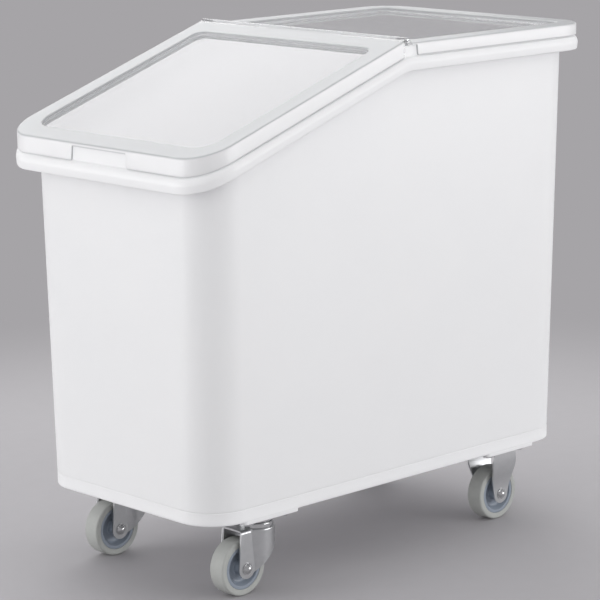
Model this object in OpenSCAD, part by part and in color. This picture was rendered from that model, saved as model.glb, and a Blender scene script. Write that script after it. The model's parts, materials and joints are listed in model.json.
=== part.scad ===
// Rolling flour bin: a moulded slant-top tub with two clear lids, on two swivel and two rigid casters.
// Millimetres, +Z up. The front faces -Y. The origin is on the floor under the middle of the rim.

/* [Tub] */
// Length of the rim from front to back
rim_length = 749; // [700:1:800]
// Width of the rim
rim_width = 419; // [400:1:450]
// Height of the flat rear rim above the base of the tub
tub_height = 589.5; // [540:0.5:640]
// Angle of the slanted front half of the rim
slope_angle = 18.6; // [14:0.1:22]
// Distance from the middle of the rim forward to the ridge where the slope begins
ridge_forward = 20; // [18:0.5:24]
// Half the length of the rounded bend at the ridge
ridge_bend = 10; // [6:0.5:11]
// Distance that the rim sinks below the upstand's own slope on the slanted half
slope_sink = 5; // [3:0.5:6]
// Further dip of the rim round the front
front_sink = 2; // [1:0.5:5]
// Thickness of the tub wall
wall = 4; // [3:0.1:5]
// Overhang of the rim past the side walls, just below it
rim_overhang = 22; // [19:0.5:24]
// Overhang of the rim past the front wall
front_overhang = 25; // [20:0.5:28]
// Overhang of the rim past the back wall
back_overhang = 18.5; // [17:0.5:24]
// Inward lean of the side walls from the rim down to the base
side_taper = 10.5; // [4:0.5:16]
// Inward lean of the front wall
front_taper = 4.5; // [2:0.5:10]
// Inward lean of the back wall
back_taper = 10; // [4:0.5:16]
// Corner radius of the rim
rim_corner = 60; // [56:1:66]
// Corner radius of the walls at the front
front_wall_corner = 58; // [50:1:64]
// Corner radius of the walls at the back
wall_corner = 52; // [48:1:58]
// Depth of the turned-down lip of the rim
lip_depth = 19; // [15:0.5:26]
// Extra depth that the lip gains down the slope, as a share of the drop
lip_gain_share = 0.01; // [0:0.01:0.06]
// Height of the upstand that the lids fit over
upstand_height = 15; // [12:0.5:18]
// Distance from the edge of the rim to the upstand
upstand_inset = 7.6; // [7.2:0.1:9]
// Corner radius of the upstand
upstand_corner = 84; // [70:1:85]
// Height of the plain band round the base
base_band = 18.5; // [10:0.5:24]
// Thickness of the floor of the tub
floor_thick = 5; // [4:0.5:7]

/* [Lids] */
// Thickness of the clear sheet
lid_sheet = 3; // [2.5:0.1:3.4]
// Distance from the edge of the rim to the lid skirt
lid_inset = 4; // [3.8:0.1:4.2]
// Depth of the rear lid's skirt below its top
skirt_depth = 17.2; // [14:0.1:17.6]
// Depth of the window recess
window_recess = 6; // [5:0.5:8]
// Width of the raised border at the sides of the windows
border_width = 31.5; // [28:0.5:36]
// Width of the border across the top of the front lid
top_band = 36; // [32:0.5:44]
// Corner radius at the front of the front lid
front_lid_corner = 52; // [46:1:56]
// Corner radius at the back of the rear lid
rear_lid_corner = 52; // [40:1:56]
// Width of the finger notch in the front skirt
notch_width = 108; // [80:1:130]
// Diameter of the hinge bead along the top of the front lid
bead_diameter = 6.6; // [6:0.1:7]
// Diameter of the hinge pins
pin_diameter = 3; // [2.4:0.1:3.6]

/* [Casters] */
// Diameter of the wheels
wheel_diameter = 78; // [72:0.5:80]
// Width of the tyres
tyre_width = 26; // [22:0.5:27]
// Thickness of the rubber on the wheel
tyre_depth = 9; // [7:0.5:11]
// Distance that the axle of a swivel caster lies in front of its swivel axis
swivel_lead = 32; // [28:0.5:35]
// Distance of the casters from the middle of the bin
caster_side = 131; // [124:0.5:136]
// Distance of the front swivel axes from the middle of the bin
caster_front = 226; // [210:1:240]
// Distance of the rear axles from the middle of the bin
caster_rear = 245; // [230:1:260]
// Thickness of the steel sheet of the forks
fork_sheet = 2.5; // [2:0.1:3]
// Clear width between the legs of a fork
fork_room = 32; // [31:0.1:33]
// Gap above the wheel inside a swivel fork
wheel_gap = 10.5; // [8:0.1:12]
// Radius of the round back of a swivel fork
bell_radius = 27; // [26:0.5:29]
// Thickness of the mounting plates
plate_thick = 3; // [2.5:0.1:4]
// Length of the mounting plates
plate_length = 78; // [76:0.5:88]
// Width of the mounting plates
plate_width = 60; // [58:0.5:64]
// Diameter of the plate bolts
bolt_diameter = 8; // [6:0.5:9]
// Diameter of the axle bolts
axle_diameter = 8; // [7:0.5:9]
// Thickness of the pads moulded under the base
pad_thick = 4; // [3:0.5:8]

/* [Hidden] */
$fn = 64;

// Overrun of cuts, and clearances
over = 1;
seat_gap = 0.5;
run_gap = 0.08;
tight_gap = 0.01;
ball_gap = 0.15;

// Steps round a lofted corner, across the ridge bend and round a small edge
corner_steps = 8;
bend_steps = 10;
edge_steps = 4;

// Small sizes of the tub
rim_edge = 6.5;
rim_round = 10;
rim_sheet = 4;
lip_sheet = 4.5;
lip_edge = 2;
upstand_sheet = 4;
upstand_edge = 1;
ledge_edge = 3;
under_edge = 4;
floor_edge = 14;
base_edge = 3.5;
groove_depth = 0.9;
groove_half = 1;
front_reach = 46;
pad_margin = 2;
pad_lead = 17;
pad_side = 1;
pad_corner = 6;
bolt_bite = 6.5;

// Small sizes of the lids
lid_edge = 4;
window_edge = 1.5;
window_draft = 1;
window_corner = 14;
front_window_corner = 28;
sharp_corner = 2.5;
skirt_fade_end = 0.2;
front_skirt_stop = 2.5;
skirt_ramp = 2;
rear_skirt_stop = 5;
rear_skirt_ramp = 2;
notch_rest = 5;
notch_ramp = 3;
rear_lap = 8;
bead_lift = 0.6;
lug_width = 7;
lug_inset = 2.5;
lug_length = 12;
lug_root = 2.2;
lug_play = 0.5;
pin_reach = 12;
pin_head_share = 1.8;
pin_head = 1;

// Small sizes of the casters
race_radius = 25.5;
race_edge = 2;
race_low = 6.5;
race_split = 0.5;
race_high = 8;
race_wall = 4;
ball_radius = 3;
ball_count = 16;
king_radius = 5;
king_head_radius = 9;
king_head = 3.4;
king_sink = 2;
strap_half = 12;
lobe_radius = 14;
strap_rib = 1;
strap_bend = 3;
rib_back_share = 0.6;
bell_drop = 18;
sleeve_wall = 2;
hub_wall = 4.5;
hub_play = 0.5;
web_half = 3.5;
rim_wall = 4.5;
rim_inset = 0.8;
tread_edge_share = 0.3;
bolt_head = 5;
bolt_key_share = 1.625;
bolt_play = 0.3;
axle_head = 4.5;
axle_head_share = 0.85;
washer = 1.2;
bolt_span_share = 0.82;
bolt_cross_share = 0.74;
plate_corner = 5;
rigid_bulge = 8;
rigid_waist = 18;
rigid_shoulder = 42;
rigid_half = 24;
rigid_neck = 19;
crown_lip = 9;

// Derived sizes of the casters
wheel_r = wheel_diameter / 2;
deck_z = wheel_diameter + wheel_gap;
race_z = deck_z + fork_sheet;
split_z = race_z + race_low;
cup_z = split_z + race_split;
plate_z = cup_z + race_high;
caster_height = plate_z + plate_thick;
ball_z = split_z + race_split / 2;
ball_ring = race_radius - race_wall - ball_radius + race_edge / 2;
strap_in = fork_room / 2;
strap_out = strap_in + fork_sheet;
sleeve_r = axle_diameter / 2 + tight_gap + sleeve_wall;
core_r = wheel_r - tyre_depth;
bolt_x = plate_width * bolt_cross_share / 2;
bolt_y = plate_length * bolt_span_share / 2;

// Derived sizes of the tub
base_z = caster_height + pad_thick;
rim_z = base_z + tub_height;
rim_half = rim_width / 2;
rim_end = rim_length / 2;
upstand_z = rim_z + upstand_height;
ridge_y = -ridge_forward;
rim_bend_y = ridge_y + slope_sink / tan(slope_angle);
bend_start = ridge_y - ridge_bend;
bend_run = rim_bend_y + ridge_bend - bend_start;
bend_stations = [for (i = [0:bend_steps]) bend_start + bend_run * i / bend_steps];

// Derived sizes of the lids
lid_half = rim_half - lid_inset;
lid_end = rim_end - lid_inset;
lid_top = upstand_z + seat_gap + lid_sheet;
skirt_below = skirt_depth - lid_sheet;
bead_r = bead_diameter / 2;
hinge_z = lid_top + bead_lift + bead_r;
hinge_y = -bead_r;
lug_out = lid_half - lug_inset;
lug_in = lug_out - lug_width;
front_skirt_end = hinge_y - bead_r - lug_play - front_skirt_stop;
rear_skirt_start = hinge_y + lug_length + rear_skirt_stop;

casters = [["front_left", -1, -caster_front], ["front_right", 1, -caster_front],
           ["rear_left", -1, caster_rear], ["rear_right", 1, caster_rear]];
swivel_pieces = ["plate", "race_balls", "kingpin", "fork", "wheel_core", "tyre",
                 "axle_sleeve", "axle_bolt", "axle_nut", "plate_bolts"];
rigid_pieces = ["fork", "wheel_core", "tyre", "axle_sleeve", "axle_bolt", "axle_nut", "plate_bolts"];

// Fall of the slanted half at a place along the bin: straight, then with a round bend at a given place
function slope_line(y) = (y - ridge_y) * tan(slope_angle);
function bent_line(y, bend_y) =
    y > bend_y + ridge_bend ? 0 :
    y < bend_y - ridge_bend ? (y - bend_y) * tan(slope_angle) :
    -tan(slope_angle) * pow(y - bend_y - ridge_bend, 2) / (4 * ridge_bend);
function clamp(v) = max(0, min(1, v));
function eased(v) = v * v * (3 - 2 * v);

// Falls of the base, the upstand, the rim with its dip round the front, and the bottom of the lip
level = function (y) 0;
upstand_fall = function (y) bent_line(y, ridge_y);
rim_fall = function (y) bent_line(y, rim_bend_y)
    - front_sink * eased(clamp((upstand_inset + front_reach - rim_end - y) / front_reach));
lip_fall = function (y) (1 + lip_gain_share) * rim_fall(y);
function reversed(list) = [for (i = [len(list) - 1:-1:0]) list[i]];

// A rounded rectangle as points: half width, front, back, two corner radii, places on the sides and front
function arc(cx, cy, r, a) =
    [for (i = [0:corner_steps]) let (t = a + 90 * i / corner_steps) [cx + r * cos(t), cy + r * sin(t)]];
function outline(w, f, b, rf, rb, sides, fronts) = concat(
    arc(w - rf, f + rf, rf, -90), [for (y = sides) [w, y]], arc(w - rb, b - rb, rb, 0),
    arc(rb - w, b - rb, rb, 90), [for (y = reversed(sides)) [-w, y]], arc(rf - w, f + rf, rf, 180),
    [for (x = fronts) [x, f]]);

// One closed solid through a list of rings, the first ring facing up and the last one facing down
function middle(ring) = [for (p = ring) 1] * ring / len(ring);
module loft(rings) {
    n = len(rings[0]);
    last = len(rings) - 1;
    top = (last + 1) * n;
    polyhedron(
        points = concat([for (ring = rings) each ring], [middle(rings[0]), middle(rings[last])]),
        faces = [for (i = [0:n - 1]) let (j = (i + 1) % n) each concat(
            [[top, j, i], [top + 1, last * n + i, last * n + j]],
            [for (k = [0:last - 1]) each [[k * n + i, k * n + j, k * n + n + j],
                                          [k * n + i, k * n + n + j, k * n + n + i]]])],
        convexity = 10);
}

// Outlines of the tub, each set out or in by a distance
function at_rim(d, corner) = [rim_half - d, d - rim_end, rim_end - d, corner - d, corner - d];
function at_edge(d) = at_rim(d, rim_corner);
function at_upstand(d) = at_rim(upstand_inset + d, upstand_corner + upstand_inset);
function at_top(d) = [rim_half - rim_overhang + d, front_overhang - rim_end - d,
                      rim_end - back_overhang + d, front_wall_corner + d, wall_corner + d];
function at_base(d) = [at_top(0)[0] - side_taper + d, at_top(0)[1] + front_taper - d,
                       at_top(0)[2] - back_taper + d, front_wall_corner + d, wall_corner + d];
function tub_ring(o, z, fall) =
    [for (p = outline(o[0], o[1], o[2], o[3], o[4], bend_stations, [])) [p.x, p.y, z + fall(p.y)]];

floor_z = base_z + floor_thick;
tub_rings = concat(
    [for (i = [0:edge_steps]) let (a = 90 * i / edge_steps)
        tub_ring(at_base(-wall - floor_edge * (1 - sin(a))), floor_z + floor_edge * (1 - cos(a)), level)],
    [tub_ring(at_top(-wall), rim_z - ledge_edge, rim_fall),
     tub_ring(at_top(ledge_edge - wall), rim_z, rim_fall),
     tub_ring(at_upstand(upstand_sheet), rim_z, rim_fall),
     tub_ring(at_upstand(upstand_sheet), upstand_z - upstand_edge, upstand_fall),
     tub_ring(at_upstand(upstand_sheet - upstand_edge), upstand_z, upstand_fall),
     tub_ring(at_upstand(upstand_edge), upstand_z, upstand_fall),
     tub_ring(at_upstand(0), upstand_z - upstand_edge, upstand_fall),
     tub_ring(at_upstand(0), rim_z, rim_fall)],
    [for (i = [0:edge_steps]) let (a = 90 * i / edge_steps)
        tub_ring(at_edge(rim_edge * (1 - sin(a))), rim_z - rim_round * (1 - cos(a)), rim_fall)],
    [tub_ring(at_edge(0), rim_z - lip_depth + lip_edge, lip_fall),
     tub_ring(at_edge(lip_edge), rim_z - lip_depth, lip_fall),
     tub_ring(at_edge(lip_sheet), rim_z - lip_depth, lip_fall),
     tub_ring(at_edge(lip_sheet), rim_z - rim_sheet, rim_fall),
     tub_ring(at_top(under_edge), rim_z - rim_sheet, rim_fall),
     tub_ring(at_top(0), rim_z - rim_sheet - under_edge, rim_fall),
     tub_ring(at_base(0), base_z + base_band + groove_half, level),
     tub_ring(at_base(-groove_depth), base_z + base_band, level),
     tub_ring(at_base(0), base_z + base_band - groove_half, level)],
    [for (i = [0:edge_steps]) let (a = 90 * i / edge_steps)
        tub_ring(at_base(-base_edge * (1 - cos(a))), base_z + base_edge * (1 - sin(a)), level)]);

// A rectangle with round corners about its middle
module round_plate(length, width, corner) {
    square([width - 2 * corner, length], center = true);
    square([width, length - 2 * corner], center = true);
    for (x = [-1, 1], y = [-1, 1])
        translate([x * (width / 2 - corner), y * (length / 2 - corner)]) circle(corner);
}

module at_bolts() {
    for (x = [-1, 1], y = [-1, 1]) translate([x * bolt_x, y * bolt_y, 0]) children();
}

// The pads run from just inside the mounting plates out to the foot of the side walls, and on ahead of them
module tub() {
    pad_in = caster_side - plate_width / 2 - pad_margin;
    pad_out = at_base(0)[0] - pad_side;
    color("white") difference() {
        union() {
            loft(tub_rings);
            for (c = casters) translate([c[1] * (pad_in + pad_out) / 2, c[2] - pad_lead / 2, caster_height])
                linear_extrude(pad_thick + floor_thick / 2)
                    round_plate(plate_length + 2 * pad_margin + pad_lead, pad_out - pad_in, pad_corner);
        }
        for (c = casters) translate([c[1] * caster_side, c[2], caster_height - over]) at_bolts()
            cylinder(h = bolt_bite + over, r = bolt_diameter / 2 + tight_gap);
    }
}

// Rings of a lid: front, back, two corner radii, the same of its window, places on the sides and front,
// the height of its top face, and the skirt's length under the sheet, out of the length down to the rim
function lid_rings(f, b, rf, rb, wf, wb, wrf, wrb, sides, fronts, top, skirt) = let (
    w = lid_half, ww = lid_half - border_width,
    low = lid_sheet + window_recess,
    run = wb - wrb - wf - wrf,
    window_sides = [for (i = [1:len(sides)]) wf + wrf + run * i / (len(sides) + 1)],
    ring = function (d, z, hang) let (ff = max(rf - d, sharp_corner), bb = max(rb - d, sharp_corner))
        [for (p = outline(w - d, f + d, b - d, ff, bb, sides, fronts))
            [p.x, p.y, top(p.y) - z - (hang ? skirt(p, skirt_below + top(p.y) - lid_top - rim_fall(p.y)) : 0)]],
    window = function (d, z)
        [for (p = outline(ww + d, wf - d, wb + d, wrf + d, wrb + d, window_sides, fronts))
            [p.x, p.y, top(p.y) - z]])
    concat(
        [window(-window_draft, window_recess), window(0, window_edge), window(window_edge, 0)],
        [for (i = [0:edge_steps]) let (a = 90 * i / edge_steps)
            ring(lid_edge * (1 - sin(a)), (lid_sheet - skirt_fade_end) * (1 - cos(a)), false)],
        [ring(0, lid_sheet, true), ring(lid_sheet, lid_sheet, true), ring(lid_sheet, lid_sheet, false),
         window(lid_sheet, lid_sheet), window(lid_sheet - window_draft, low)]);

// A prism along X from an outline given as places along Y and heights
module across(width) {
    rotate([90, 0, 90]) linear_extrude(width, center = true) children();
}

// A prism along Y from an outline given as places across and heights
module along(length) {
    rotate([90, 0, 0]) linear_extrude(length, center = true) children();
}

// A round bar along X between two places, at the hinge
module hinge_bar(x0, x1, r) {
    translate([min(x0, x1), hinge_y, hinge_z]) rotate([0, 90, 0]) cylinder(h = abs(x1 - x0), r = r);
}

module front_lid() {
    f = -lid_end;
    fronts = [for (x = [-1, 1]) each [x * (notch_width / 2 + (x < 0 ? notch_ramp : 0)),
                                      x * (notch_width / 2 + (x > 0 ? notch_ramp : 0))]];
    sides = [front_skirt_end - skirt_ramp, front_skirt_end];
    skirt = function (p, full) max(skirt_fade_end,
        p.y > f + lid_edge ? full * clamp((front_skirt_end - p.y) / skirt_ramp) :
        max(notch_rest - lid_sheet, full * clamp((abs(p.x) - notch_width / 2) / notch_ramp)));
    color("lightcyan", 0.6) difference() {
        union() {
            loft(lid_rings(f, hinge_y, front_lid_corner, sharp_corner,
                           f + border_width, hinge_y - top_band,
                           front_window_corner, window_corner,
                           sides, fronts, function (y) lid_top + slope_line(y), skirt));
            hinge_bar(lug_play - lug_in, lug_in - lug_play, bead_r);
        }
        for (x = [-1, 1]) {
            hinge_bar(x * (lug_in - pin_reach - over), x * (lug_in + over), pin_diameter / 2 + run_gap);
            translate([x * (lid_half + over), hinge_y, hinge_z])
                cube([2 * (lid_half + over - lug_in + lug_play), 2 * (bead_r + lug_play),
                      2 * skirt_depth], center = true);
        }
    }
}

module rear_lid() {
    f = -rear_lap;
    sides = [rear_skirt_start, rear_skirt_start + rear_skirt_ramp];
    skirt = function (p, full) max(skirt_fade_end,
        full * clamp((p.y - rear_skirt_start) / rear_skirt_ramp));
    color("lightcyan", 0.6) difference() {
        union() {
            loft(lid_rings(f, lid_end, sharp_corner, rear_lid_corner,
                           f + top_band, lid_end - border_width, window_corner, window_corner,
                           sides, [], function (y) lid_top, skirt));
            for (x = [-1, 1]) {
                hinge_bar(x * lug_in, x * lug_out, bead_r);
                translate([x * (lug_in + lug_out) / 2, hinge_y, 0]) across(lug_width)
                    polygon([[-bead_r, lid_top - lug_root], [-bead_r, hinge_z],
                             [bead_r * sin(slope_angle), hinge_z + bead_r * cos(slope_angle)],
                             [lug_length, lid_top - lug_root]]);
            }
        }
        for (x = [-1, 1]) hinge_bar(x * (lug_in - over), x * (lug_out + over), pin_diameter / 2 + tight_gap);
    }
}

module hinge_pin(x) {
    color("silver") {
        hinge_bar(x * (lug_in - pin_reach), x * lug_out, pin_diameter / 2);
        hinge_bar(x * lug_out, x * (lug_out + pin_head), pin_diameter * pin_head_share / 2);
    }
}

// Half of a round cup of a ball race, as places out from the swivel axis and heights
module race_half(z, height, outer, edge_at) {
    inner = outer - race_wall - 2 * ball_radius;
    translate([inner, z]) square([outer - race_edge - inner, height]);
    translate([inner, z + (edge_at > 0 ? 0 : race_edge)]) square([outer - inner, height - race_edge]);
    translate([outer - race_edge, z + (edge_at > 0 ? height - race_edge : race_edge)]) circle(race_edge);
}

module ball_groove() {
    translate([0, 0, ball_z]) rotate_extrude() translate([ball_ring, 0]) circle(ball_radius + ball_gap);
}

module caster_plate() {
    color("silver") difference() {
        union() {
            translate([0, 0, plate_z]) linear_extrude(plate_thick)
                round_plate(plate_length, plate_width, plate_corner);
            rotate_extrude() race_half(cup_z, race_high, race_radius, -1);
        }
        ball_groove();
        translate([0, 0, cup_z]) cylinder(h = race_high + plate_thick + over, r = king_radius + tight_gap);
        translate([0, 0, caster_height - king_sink - tight_gap])
            cylinder(h = king_sink + over, r = king_head_radius + tight_gap);
        at_bolts() translate([0, 0, plate_z - over])
            cylinder(h = plate_thick + 2 * over, r = bolt_diameter / 2 + bolt_play);
    }
}

module race_balls() {
    color("gainsboro") for (i = [0:ball_count - 1])
        rotate([0, 0, 360 * i / ball_count]) translate([ball_ring, 0, ball_z]) sphere(ball_radius);
}

module kingpin() {
    color("silver") {
        translate([0, 0, deck_z - run_gap - king_head])
            cylinder(h = king_head, r = king_head_radius);
        translate([0, 0, deck_z - run_gap - king_head])
            cylinder(h = caster_height - deck_z + run_gap + king_head - king_sink, r = king_radius);
        translate([0, 0, caster_height - king_sink]) cylinder(h = king_sink, r = king_head_radius);
    }
}

// Plan of a swivel fork: flat legs beside the wheel running into a round back
module fork_plan(r, half, front) {
    circle(r);
    translate([-half, front]) square([2 * half, -front]);
}

// Side view of a swivel fork: a lobe round the axle, a leg and a back swept down to the lobe
module fork_side(back) {
    sweep = lobe_radius / sqrt(2);
    translate([-swivel_lead, wheel_r]) circle(lobe_radius);
    polygon([[-swivel_lead - lobe_radius, wheel_r], [-swivel_lead - strap_half, race_z], [back, race_z],
             [back, race_z - bell_drop], [-swivel_lead + sweep, wheel_r - sweep], [-swivel_lead, wheel_r]]);
}

// Front view of the strap over a swivel fork: upright sides with bent upper corners
module strap_section(half, height) {
    translate([-half, 0]) square([2 * half, height - strap_bend]);
    translate([strap_bend - half, 0]) square([2 * (half - strap_bend), height]);
    for (x = [-1, 1]) translate([x * (half - strap_bend), height - strap_bend]) circle(strap_bend);
}

module axle_hole(y) {
    translate([0, y, wheel_r]) rotate([0, 90, 0])
        cylinder(h = 2 * (strap_out + strap_rib + over), r = axle_diameter / 2 + tight_gap, center = true);
}

module swivel_fork() {
    front = -swivel_lead - lobe_radius;
    color("silver") difference() {
        union() {
            intersection() {
                linear_extrude(race_z) difference() {
                    fork_plan(bell_radius, strap_out, front);
                    fork_plan(bell_radius - fork_sheet, strap_in, front - over);
                }
                across(2 * bell_radius + over) fork_side(bell_radius);
            }
            translate([0, 0, deck_z]) linear_extrude(fork_sheet)
                fork_plan(bell_radius, strap_out, -swivel_lead - strap_half);
            intersection() {
                along(2 * (swivel_lead + lobe_radius)) difference() {
                    strap_section(strap_out + strap_rib, race_z + strap_rib);
                    translate([-strap_out, -over]) square([2 * strap_out, race_z + over]);
                }
                across(2 * bell_radius) union() {
                    translate([-swivel_lead, wheel_r]) circle(lobe_radius);
                    polygon([[-swivel_lead - lobe_radius, wheel_r],
                             [-swivel_lead - strap_half, race_z + strap_rib],
                             [-swivel_lead + strap_half * rib_back_share, race_z + strap_rib],
                             [-swivel_lead + lobe_radius, wheel_r]]);
                }
            }
            rotate_extrude() race_half(race_z, race_low, race_radius, 1);
        }
        ball_groove();
        axle_hole(-swivel_lead);
        translate([0, 0, deck_z - over]) cylinder(h = split_z - deck_z + 2 * over, r = king_radius + run_gap);
    }
}

// Front view of one leg of a rigid fork: upright by the wheel, bulging at the shoulder, in to the plate
module rigid_leg_half(d) {
    polygon([[0, 0], [strap_in + d, 0], [strap_in + d, wheel_r + rigid_waist],
             [strap_in + rigid_bulge + d, wheel_r + rigid_shoulder],
             [strap_in + rigid_bulge + d, plate_z - fork_sheet + d], [0, plate_z - fork_sheet + d]]);
}

module rigid_fork() {
    color("silver") difference() {
        union() {
            translate([0, 0, plate_z]) linear_extrude(plate_thick)
                round_plate(plate_length, plate_width, plate_corner);
            intersection() {
                along(plate_length) difference() {
                    for (x = [0, 1]) mirror([x, 0]) rigid_leg_half(fork_sheet);
                    for (x = [0, 1]) mirror([x, 0]) rigid_leg_half(0);
                }
                across(plate_width) union() {
                    translate([0, wheel_r]) circle(lobe_radius);
                    polygon([[-lobe_radius, wheel_r], [-rigid_half, wheel_r + rigid_shoulder],
                             [-rigid_neck, plate_z], [rigid_neck, plate_z],
                             [rigid_half, wheel_r + rigid_shoulder], [lobe_radius, wheel_r]]);
                }
            }
            for (y = [-1, 1]) translate([0, y * (rigid_neck - fork_sheet / 2), plate_z - crown_lip / 2])
                cube([2 * (strap_in + rigid_bulge) + fork_sheet, fork_sheet, crown_lip], center = true);
        }
        axle_hole(0);
        at_bolts() translate([0, 0, plate_z - over])
            cylinder(h = plate_thick + 2 * over, r = bolt_diameter / 2 + bolt_play);
    }
}

// A turned piece about the axle, from a half section given as radii and places across
module turned(y) {
    translate([0, y, wheel_r]) rotate([0, 90, 0]) rotate_extrude() children();
}

module mirrored_half() {
    children();
    mirror([0, 1]) children();
}

module wheel_core(y) {
    hub_half = fork_room / 2 - hub_play;
    rim_face = tyre_width / 2 - rim_inset;
    bore = sleeve_r + run_gap;
    hub_r = bore + hub_wall;
    dish_r = core_r - rim_wall;
    half = [[bore, hub_half], [hub_r, hub_half], [hub_r, web_half], [dish_r - rim_wall, web_half],
            [dish_r, rim_face], [core_r, rim_face]];
    color("slategray") turned(y) polygon(concat(half, [for (p = reversed(half)) [p.x, -p.y]]));
}

module tyre(y) {
    half = tyre_width / 2;
    inner = core_r + tight_gap;
    tread_edge = tyre_depth * tread_edge_share;
    color("lightgray") turned(y) mirrored_half() {
        translate([inner, 0]) square([wheel_r - inner - tread_edge, half]);
        translate([inner, 0]) square([wheel_r - inner, half - tread_edge]);
        translate([wheel_r - tread_edge, half - tread_edge]) circle(tread_edge);
    }
}

module axle_sleeve(y) {
    inner = axle_diameter / 2 + tight_gap;
    color("silver") turned(y) translate([inner, -fork_room / 2 + tight_gap])
        square([sleeve_r - inner, fork_room - 2 * tight_gap]);
}

// Face that an axle bolt's head or nut bears on: a swivel fork's legs carry a rib, a rigid fork's don't
function axle_face(swivel) = strap_out + (swivel ? strap_rib : 0);

module axle_bolt(y, swivel) {
    face = axle_face(swivel);
    head = axle_diameter * axle_head_share;
    color("silver") {
        translate([-face - washer - axle_head, y, wheel_r]) rotate([0, 90, 0])
            cylinder(h = 2 * face + washer + axle_head, r = axle_diameter / 2);
        translate([face, y, wheel_r]) rotate([0, 90, 0]) rotate_extrude() {
            square([head + washer, washer]);
            intersection() {
                square([head, washer + axle_head]);
                translate([0, washer + axle_head - head]) circle(head);
            }
        }
    }
}

module axle_nut(y, swivel) {
    face = axle_face(swivel);
    color("silver") translate([-face - washer - axle_head, y, wheel_r]) rotate([0, 90, 0]) difference() {
        union() {
            cylinder(h = axle_head, r = axle_diameter * bolt_key_share / sqrt(3), $fn = 6);
            translate([0, 0, axle_head]) cylinder(h = washer, r = axle_diameter * bolt_key_share / sqrt(3));
        }
        translate([0, 0, -over])
            cylinder(h = axle_head + washer + 2 * over, r = axle_diameter / 2 + tight_gap);
    }
}

module plate_bolts() {
    color("silver") at_bolts() {
        translate([0, 0, plate_z - bolt_head])
            cylinder(h = bolt_head, r = bolt_diameter * bolt_key_share / sqrt(3), $fn = 6);
        translate([0, 0, plate_z - bolt_head])
            cylinder(h = bolt_head + plate_thick + bolt_bite - bolt_play, r = bolt_diameter / 2);
    }
}

// One piece of a caster, by its name, where the caster stands
module caster_piece(c, piece) {
    swivel = c[2] < 0;
    y = swivel ? -swivel_lead : 0;
    translate([c[1] * caster_side, c[2], 0]) {
        if (piece == "plate") caster_plate();
        if (piece == "race_balls") race_balls();
        if (piece == "kingpin") kingpin();
        if (piece == "fork" && swivel) swivel_fork();
        if (piece == "fork" && !swivel) rigid_fork();
        if (piece == "wheel_core") wheel_core(y);
        if (piece == "tyre") tyre(y);
        if (piece == "axle_sleeve") axle_sleeve(y);
        if (piece == "axle_bolt") axle_bolt(y, swivel);
        if (piece == "axle_nut") axle_nut(y, swivel);
        if (piece == "plate_bolts") plate_bolts();
    }
}

tub();
front_lid();
rear_lid();
hinge_pin(-1);  // hinge_pin_left
hinge_pin(1);  // hinge_pin_right
for (c = casters, piece = c[2] < 0 ? swivel_pieces : rigid_pieces)
    caster_piece(c, piece);
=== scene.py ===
import json
import math

import bmesh
import bpy
from mathutils import Matrix, Vector


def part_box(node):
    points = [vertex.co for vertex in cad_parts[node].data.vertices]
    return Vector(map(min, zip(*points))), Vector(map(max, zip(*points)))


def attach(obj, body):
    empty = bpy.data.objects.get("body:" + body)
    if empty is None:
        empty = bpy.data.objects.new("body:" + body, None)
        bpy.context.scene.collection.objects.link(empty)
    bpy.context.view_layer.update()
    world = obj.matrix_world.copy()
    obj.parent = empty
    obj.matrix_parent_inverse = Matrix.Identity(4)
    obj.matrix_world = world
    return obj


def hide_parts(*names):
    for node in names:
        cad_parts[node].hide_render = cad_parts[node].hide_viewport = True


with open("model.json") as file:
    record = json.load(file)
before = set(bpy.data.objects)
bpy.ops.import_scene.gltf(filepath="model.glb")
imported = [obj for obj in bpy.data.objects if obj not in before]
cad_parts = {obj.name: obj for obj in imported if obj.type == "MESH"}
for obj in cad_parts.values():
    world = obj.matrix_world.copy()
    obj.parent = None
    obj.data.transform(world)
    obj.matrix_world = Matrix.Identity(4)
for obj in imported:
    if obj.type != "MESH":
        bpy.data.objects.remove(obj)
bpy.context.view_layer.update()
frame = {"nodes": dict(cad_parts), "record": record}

mm = 0.001  # shapes are in millimetres until finishPiece, the studio is in metres
mergeGap = 0.002  # millimetres
nearBy = 0.1  # millimetres, for picking vertices by place
sharpAngle = 32  # degrees, above which an edge is shaded sharp
nodes = frame["nodes"]
corners = ("front_left", "front_right", "rear_left", "rear_right")


# small helpers
def srgb(hexCode):
    channels = [int(hexCode[i:i + 2], 16) / 255 for i in (1, 3, 5)]
    return [c / 12.92 if c <= 0.04045 else ((c + 0.055) / 1.055) ** 2.4 for c in channels] + [1.0]


def perSize(size):
    return 1 / (size * mm)  # texture scale for a feature of this many millimetres


def addNode(tree, kind, settings=None, links=None):
    node = tree.nodes.new("ShaderNode" + kind)
    for key, value in (settings or {}).items():
        if isinstance(key, int) or key in node.inputs:
            node.inputs[key].default_value = value
        else:
            setattr(node, key, value)
    for key, source in (links or {}).items():
        tree.links.new(source, node.inputs[key])
    return node


def newMaterial(name):
    material = bpy.data.materials.new(name)
    material.use_nodes = True
    material.node_tree.nodes.clear()
    return material, material.node_tree


def boxOf(node):
    low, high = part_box(node)
    return low / mm, high / mm


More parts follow.
